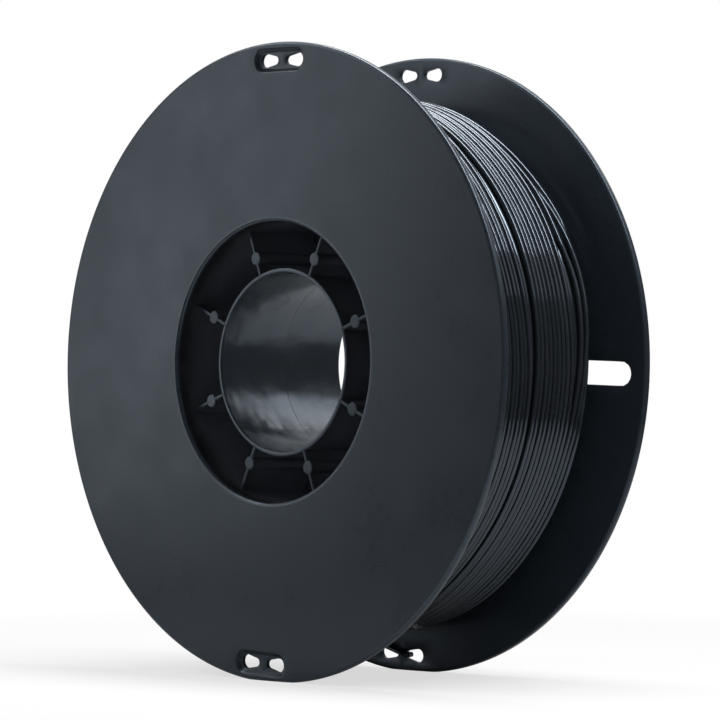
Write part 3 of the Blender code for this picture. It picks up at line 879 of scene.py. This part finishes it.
def tube(path, radius, sides, reference):
    """A strand: a circle carried along the path, square to it, and closed to a point at both ends.

    The circle's first way is the reference direction less its part along the path, and the second is their
    cross product.
    """
    run = np.gradient(path, axis=0)
    run /= np.linalg.norm(run, axis=1, keepdims=True)
    up = reference - (reference * run).sum(1, keepdims=True) * run
    up /= np.linalg.norm(up, axis=1, keepdims=True)
    side = np.cross(run, up)
    turn = np.linspace(0, 2 * math.pi, sides, endpoint=False)[:, None]
    ring = np.cos(turn) * up[:, None] + np.sin(turn) * side[:, None]
    ends = np.ones(len(path))
    ease = np.array([0, 0.8, 1])
    path = np.concatenate([path[:1], path[:1], path, path[-1:], path[-1:]])
    ring = np.concatenate([ring[:1], ring[:1], ring, ring[-1:], ring[-1:]])
    ends = np.concatenate([ease[:2], ends, ease[1::-1]])
    return sheet(path[:, None] + radius * ends[:, None, None] * ring, wrap_columns=True)


def outward(path):
    """Unit directions away from the spool's axis."""
    away = path * (1, 0, 1)
    return away / np.linalg.norm(away, axis=1, keepdims=True)


def grip_place(sizes, openings):
    """Narrow end of the rear flange's lower hole that holds the loose end, as (x, z)."""
    centre = BOTTOM - sizes.roll
    out = np.array([math.cos(centre), math.sin(centre)])
    across = np.array([-out[1], out[0]])
    return (sizes.flange_radius - openings.hole_rim_distance) * out + (
        openings.hole_spacing / 2 + openings.narrow_radius
    ) * across


def turned_from(bearing, middle):
    """Angles counted from a middle, in degrees between -180 and 180."""
    return np.degrees(np.angle(np.exp(1j * (bearing - middle))))


def lay(turn, bearing, winding):
    """Where each turn lies along the axis, and how much higher or lower than even.

    Turns step evenly from the front, with a gap before the rear ones that is wider on the upper right, as a squared
    cosine of the angle. Away from the right side all lie a little to the rear, and on the lower right the front ones
    lie forward. The last three lie close together at the top, the middle one below the others, and fan out to the
    rear as they come down the upper right. On the left side the last one comes down to where the loose end leaves.
    Changes between turns fall on the left side, and all ease in by smooth steps.
    """
    def opened(turns):
        return smooth((turn - turns + 0.45) / 0.4)

    around = turned_from(bearing, 0)
    left = winding.turns - turn
    rear, third, second, last = (
        opened(turns) for turns in (winding.turns_before_gap, winding.turns - 3, winding.turns - 2, winding.turns - 1)
    )
    third, second = third - second, second - last
    place = -winding.first_place + winding.pitch * turn + winding.main_gap * rear
    behind = np.maximum(turn - winding.turns_before_gap, 0)
    place += (winding.rear_pitch - winding.pitch) * behind
    window = np.cos(np.clip((around - 32) / 50, -1, 1) * math.pi / 2) ** 2
    forward, rearward = (1 - rear) * smooth((turn - 3) / 8), rear * (1 - smooth(behind / 5))
    place += winding.opening * window * (rearward - 2 * forward) / 3
    place += winding.lean * smooth((abs(around) - 42) / 25)
    below = smooth((-around - 15) / 45) * (1 - smooth((-around - 90) / 70))
    place -= 0.6 * winding.opening * below * smooth(turn / 10) * (1 - smooth((behind - 7) / 4))

    def down_to(angle, width):
        return smooth((angle + width - around) / width)

    swing = smooth((around + 20) / 36) * (1 - smooth((around - 100) / 70))
    place += winding.fan * swing * (
        third * (0.36 * down_to(36, 18) + 0.4 * down_to(14, 14) - 0.08)
        + second * (1.18 * down_to(18, 36) - 0.18)
        + last * (1.24 * down_to(20, 42) - 0.44)
    )
    height = -winding.sink * swing * (
        second * (1 - 0.47 * down_to(32, 16)) + last * (0.47 * down_to(30, 22) + 1.33 * down_to(21, 11))
    )
    home = smooth((0.42 - left) / 0.32)
    place += (winding.tail_place - place) * home
    height += (winding.tail_radius + winding.strand_radius - winding.winding_radius - height) * home
    even = smooth(left / 0.5)
    place += wandering(turn, winding.wander, winding.seed) * even
    return place, height + wandering(turn, winding.heap, winding.seed + 1) * even


def outer_turns_path(sizes, openings, winding):
    """Route of the outer layer: a helix about the axis that rises from the layer below, then the loose end, which
    leaves along the tangent, follows the flange and bends on a cubic curve into the grip hole."""
    grip = grip_place(sizes, openings)
    leave = math.atan2(grip[1], grip[0]) - math.acos(winding.tail_radius / np.hypot(*grip))
    turn = np.linspace(0, winding.turns, winding.turns * 150 + 1)
    bearing = leave + 2 * math.pi * (turn - winding.turns)
    place, height = lay(turn, bearing, winding)
    height += winding.winding_radius - winding.strand_radius - winding.inner_drop * (1 - smooth(turn / 0.12))
    helix = on_axis(height, bearing, place)
    away = np.array([-math.sin(leave), 0, math.cos(leave)])
    mouth = np.array([grip[0], winding.tail_place, grip[1]])
    bend = 2 * winding.strand_radius
    straight = np.linspace(helix[-1], mouth - away * bend, 40)[1:]
    end = mouth + (0, bend, 0)
    controls = (straight[-1], mouth - away * bend * 0.4, mouth + (0, bend * 0.4, 0), end)
    share = np.linspace(0, 1, 16)[1:, None]
    weights = ((1 - share) ** 3, 3 * share * (1 - share) ** 2, 3 * share**2 * (1 - share), share**3)
    curve = sum(weight * control for weight, control in zip(weights, controls))
    tip = np.linspace(end, (grip[0], sizes.half_width - openings.pocket_depth, grip[1]), 6)[1:]
    return np.concatenate([helix, straight, curve, tip])


def inner_layers_surface(sizes, winding):
    """The layers below the outer one: a ring on the drum whose outside is ridged by the strand and whose ends show
    the layers as rings.

    A ridge is the top of a circle. Outside, ridges follow a helix, so their place along the axis moves one pitch in
    each turn, and on the ends they are even steps of the radius.
    """
    drum = sizes.opening_radius + sizes.drum_wall + 0.1 * MM
    end = sizes.half_width - sizes.flange_thickness - 0.12 * MM
    top = winding.winding_radius - 2 * winding.strand_radius + 0.1 * MM
    fall = winding.shoulder_drop
    outside = np.linspace(-end, end, 184)
    drop = fall * smooth((outside - end + winding.shoulder_width) / winding.shoulder_width)
    root = drum + 1.2 * MM
    front = np.linspace(root, top, 90, endpoint=False)
    rear = np.linspace(top - fall, root, 76)[1:]
    bearing = np.linspace(0, 2 * math.pi, 144, endpoint=False)
    layer = winding.strand_radius * 2 * 0.9

    def ridge(step):
        across = 2 * (step - np.floor(step)) - 1
        return winding.strand_radius * (np.sqrt(1 - (0.95 * across) ** 2) - 1)

    phase = (outside[:, None] + winding.first_place) / winding.pitch - bearing / (2 * math.pi)
    outside_grid = on_axis((top - drop)[:, None] + ridge(phase), bearing, outside[:, None])
    front_grid = on_axis(front[:, None], bearing, (-end - ridge((top - front) / layer))[:, None])
    rear_grid = on_axis(rear[:, None], bearing, (end + ridge((top - rear) / layer))[:, None])
    foot = np.array([[drum, end - 1.2 * MM], [drum, 1.2 * MM - end]])
    foot_grid = on_axis(foot[:, :1], bearing, foot[:, 1:])
    return sheet(np.concatenate([front_grid, outside_grid, rear_grid, foot_grid]), True, True)


class SPOOL_OT_front_half(bpy.types.Operator):
    """Build the front half: flange, drum, ribbed hub and pins"""

    bl_idname = "spool.front_half"
    bl_label = "Front half"

    def execute(self, context):
        half = Half(-1)
        half.add_filament_holes()
        half.add_hub(half.sizes.front_recess)
        half.finish("front_half_moulding", FRONT_BODY)
        return {"FINISHED"}


class SPOOL_OT_rear_half(bpy.types.Operator):
    """Build the rear half: flange with its sight slot, drum, ribbed hub and sockets"""

    bl_idname = "spool.rear_half"
    bl_label = "Rear half"

    def execute(self, context):
        half = Half(1)
        half.add_filament_holes()
        half.add_sight_slot()
        half.add_start_hole(TOP - half.sizes.roll - START_BEARING)
        half.add_hub(half.sizes.rear_recess)
        half.finish("rear_half_moulding", REAR_BODY)
        return {"FINISHED"}


class SPOOL_OT_winding(bpy.types.Operator):
    """Wind the filament: the inner layers, then the outer layer with its loose end"""

    bl_idname = "spool.winding"
    bl_label = "Winding"

    def execute(self, context):
        scene = context.scene
        sizes, openings, winding = scene.spool_sizes, scene.spool_openings, scene.spool_winding
        layers = inner_layers_surface(sizes, winding)
        finish_piece(
            "inner_layers", [layers], [filament_finish()], REAR_BODY, ["filament_core"], sharp=60
        )
        path = outer_turns_path(sizes, openings, winding)
        strand = tube(path, winding.strand_radius, 12, outward(path))
        finish_piece(
            "outer_turns", [strand], [filament_finish()], REAR_BODY, ["filament_outer_layer"], sharp=60
        )
        return {"FINISHED"}


class SPOOL_OT_inner_end(bpy.types.Operator):
    """Bring the filament's inner end through the drum wall"""

    bl_idname = "spool.inner_end"
    bl_label = "Inner end"

    def execute(self, context):
        scene = context.scene
        sizes, openings, winding = scene.spool_sizes, scene.spool_openings, scene.spool_winding
        bearing = TOP - sizes.roll - START_BEARING
        outer = sizes.opening_radius + sizes.drum_wall
        inner = outer - STUB_LENGTH
        radius = np.linspace(outer, inner, 25)
        path = on_axis(radius, bearing, openings.start_place)
        side = np.broadcast_to((0.0, 1.0, 0.0), path.shape)
        strand = tube(path, winding.strand_radius, 16, side)
        finish_piece(
            "inner_end", [strand], [filament_finish()], REAR_BODY, ["filament_inner_end"], sharp=60
        )
        return {"FINISHED"}


class SPOOL_OT_studio(bpy.types.Operator):
    """Set up the floor, the white room, the lamps and the camera"""

    bl_idname = "spool.studio"
    bl_label = "Studio"

    def execute(self, context):
        scene, studio = context.scene, context.scene.spool_studio
        scene.view_settings.view_transform = "Standard"
        self.add_floor(scene)
        self.add_room(scene, studio)
        self.add_camera(scene, studio)
        self.add_lamp(scene, "key_lamp", (-0.368, -0.375, 0.18), (0.16, 0.55), studio.key_power, -18)
        self.add_lamp(scene, "top_lamp", (0.09, 0.02, 0.36), (0.6, 0.075), studio.top_power)
        self.add_lamp(scene, "edge_lamp", (-0.4, -0.27, 0.42), (0.1, 0.1), studio.edge_power)
        self.add_lamp(scene, "bore_lamp", (0.04, 0.19, 0.15), (0.17, 0.08), studio.bore_power)
        self.add_dark_card(scene, "right_card", 0.12, (-80, 40), [(0.3, FLOOR_HEIGHT), (0.3, 0.11)])
        self.add_dark_card(scene, "rear_card", 0.12, (40, 105), [(0.3, FLOOR_HEIGHT), (0.3, 0.4)])
        skirt = FLOOR_HEIGHT + 1 * MM
        self.add_dark_card(
            scene, "left_card", 0.015, (192, 345),
            [(0.25, skirt), (0.95, skirt), (0.95, 0.75), (0.6, 1.1), (0.15, 1.3)],
        )
        return {"FINISHED"}

    def add_dark_card(self, scene, name, shade, reach, profile):
        """A dark card bent round one side, which only reflections meet: a profile of (radius, height) turned about the
        middle of the room over a reach of angles."""
        turn = np.radians(np.linspace(*reach, 25))[:, None]
        radius, height = np.array(profile).T
        points, faces = sheet(
            np.stack([radius * np.cos(turn), radius * np.sin(turn), np.broadcast_to(height, (25, len(height)))], -1)
        )
        mesh = bpy.data.meshes.new(name)
        mesh.from_pydata(points, [], faces)
        mesh.materials.append(card_finish(shade))
        card = bpy.data.objects.new(name, mesh)
        card.visible_camera = card.visible_diffuse = card.visible_shadow = False
        scene.collection.objects.link(card)

    def add_floor(self, scene):
        """A flat square under the rims."""
        across = np.linspace(-4, 4, 5)
        x, y = np.meshgrid(across, across, indexing="ij")
        points, faces = sheet(np.stack([x, y, np.full(x.shape, FLOOR_HEIGHT)], -1))
        mesh = bpy.data.meshes.new("floor")
        mesh.from_pydata(points, [], faces[:, ::-1])
        mesh.materials.append(floor_finish())
        floor = bpy.data.objects.new("floor", mesh)
        scene.collection.objects.link(floor)

    def add_room(self, scene, studio):
        """White where it is seen, and dim as a light."""
        world = bpy.data.worlds.new("white_room")
        world.use_nodes = True
        scene.world = world
        nodes = Nodes(world.node_tree)
        background = world.node_tree.nodes["Background"]
        background.inputs["Color"].default_value = (1, 1, 1, 1)
        seen = seen_directly(nodes)
        way = nodes.node("ShaderNodeTexCoord", {}, {}, "Generated")
        front = nodes.node("ShaderNodeVectorMath", {"operation": "DOT_PRODUCT"}, {0: way, 1: (0.6, -0.8, 0)}, "Value")
        strength = seen + (1 - seen) * studio.ambient * (1 + front)
        world.node_tree.links.new(strength.socket, background.inputs["Strength"])

    def add_camera(self, scene, studio):
        data = bpy.data.cameras.new("camera")
        data.lens, data.sensor_width = studio.lens, 36
        data.clip_start, data.clip_end = 0.01, 100
        camera = bpy.data.objects.new("camera", data)
        a, e = studio.azimuth, studio.elevation
        right = Vector((math.cos(a), math.sin(a), 0))
        back = Vector((math.sin(a) * math.cos(e), -math.cos(a) * math.cos(e), math.sin(e)))
        camera.matrix_world = Matrix.Translation(studio.camera_place) @ Matrix(
            (right, back.cross(right), back)
        ).transposed().to_4x4()
        scene.collection.objects.link(camera)
        scene.camera = camera

    def add_lamp(self, scene, name, place, size, power, roll=0):
        """A soft lamp, turned to the middle of the spool, with its first side level before the roll in degrees."""
        data = bpy.data.lights.new(name, "AREA")
        data.shape, data.energy = "RECTANGLE", power
        data.size, data.size_y = size
        lamp = bpy.data.objects.new(name, data)
        lamp.visible_camera = False
        back = Vector(place).normalized()
        upright = Vector((0, 1, 0)) if back.z > 0.8 else Vector((0, 0, 1))
        level = upright.cross(back).normalized()
        turned = Matrix((level, back.cross(level), back)).transposed() @ Matrix.Rotation(math.radians(roll), 3, "Z")
        lamp.matrix_world = Matrix.Translation(place) @ turned.to_4x4()
        scene.collection.objects.link(lamp)


class SPOOL_PT_panel(bpy.types.Panel):
    """Sizes, finishes and steps of the spool"""

    bl_label = "Filament Spool"
    bl_idname = "SPOOL_PT_panel"
    bl_space_type = "VIEW_3D"
    bl_region_type = "UI"
    bl_category = "Spool"

    def draw(self, context):
        layout = self.layout
        for step in STEPS:
            layout.operator(step.bl_idname)
        for name in GROUPS:
            box = layout.box()
            settings = getattr(context.scene, name)
            box.label(text=name.replace("_", " ").capitalize())
            for key in settings.__annotations__:
                box.prop(settings, key)


STEPS = (SPOOL_OT_front_half, SPOOL_OT_rear_half, SPOOL_OT_winding, SPOOL_OT_inner_end, SPOOL_OT_studio)
GROUPS = {
    "spool_sizes": SpoolSizes,
    "spool_openings": OpeningSizes,
    "spool_winding": WindingSizes,
    "spool_finish": FinishSettings,
    "spool_studio": StudioSettings,
}


def register():
    for cls in (*GROUPS.values(), *STEPS, SPOOL_PT_panel):
        bpy.utils.register_class(cls)
    for name, cls in GROUPS.items():
        setattr(bpy.types.Scene, name, PointerProperty(type=cls))


def unregister():
    for name in GROUPS:
        delattr(bpy.types.Scene, name)
    for cls in (SPOOL_PT_panel, *STEPS, *GROUPS.values()):
        bpy.utils.unregister_class(cls)


def main():
    register()
    bpy.ops.spool.front_half()
    bpy.ops.spool.rear_half()
    bpy.ops.spool.winding()
    bpy.ops.spool.inner_end()
    bpy.ops.spool.studio()


if __name__ == "__main__":
    main()
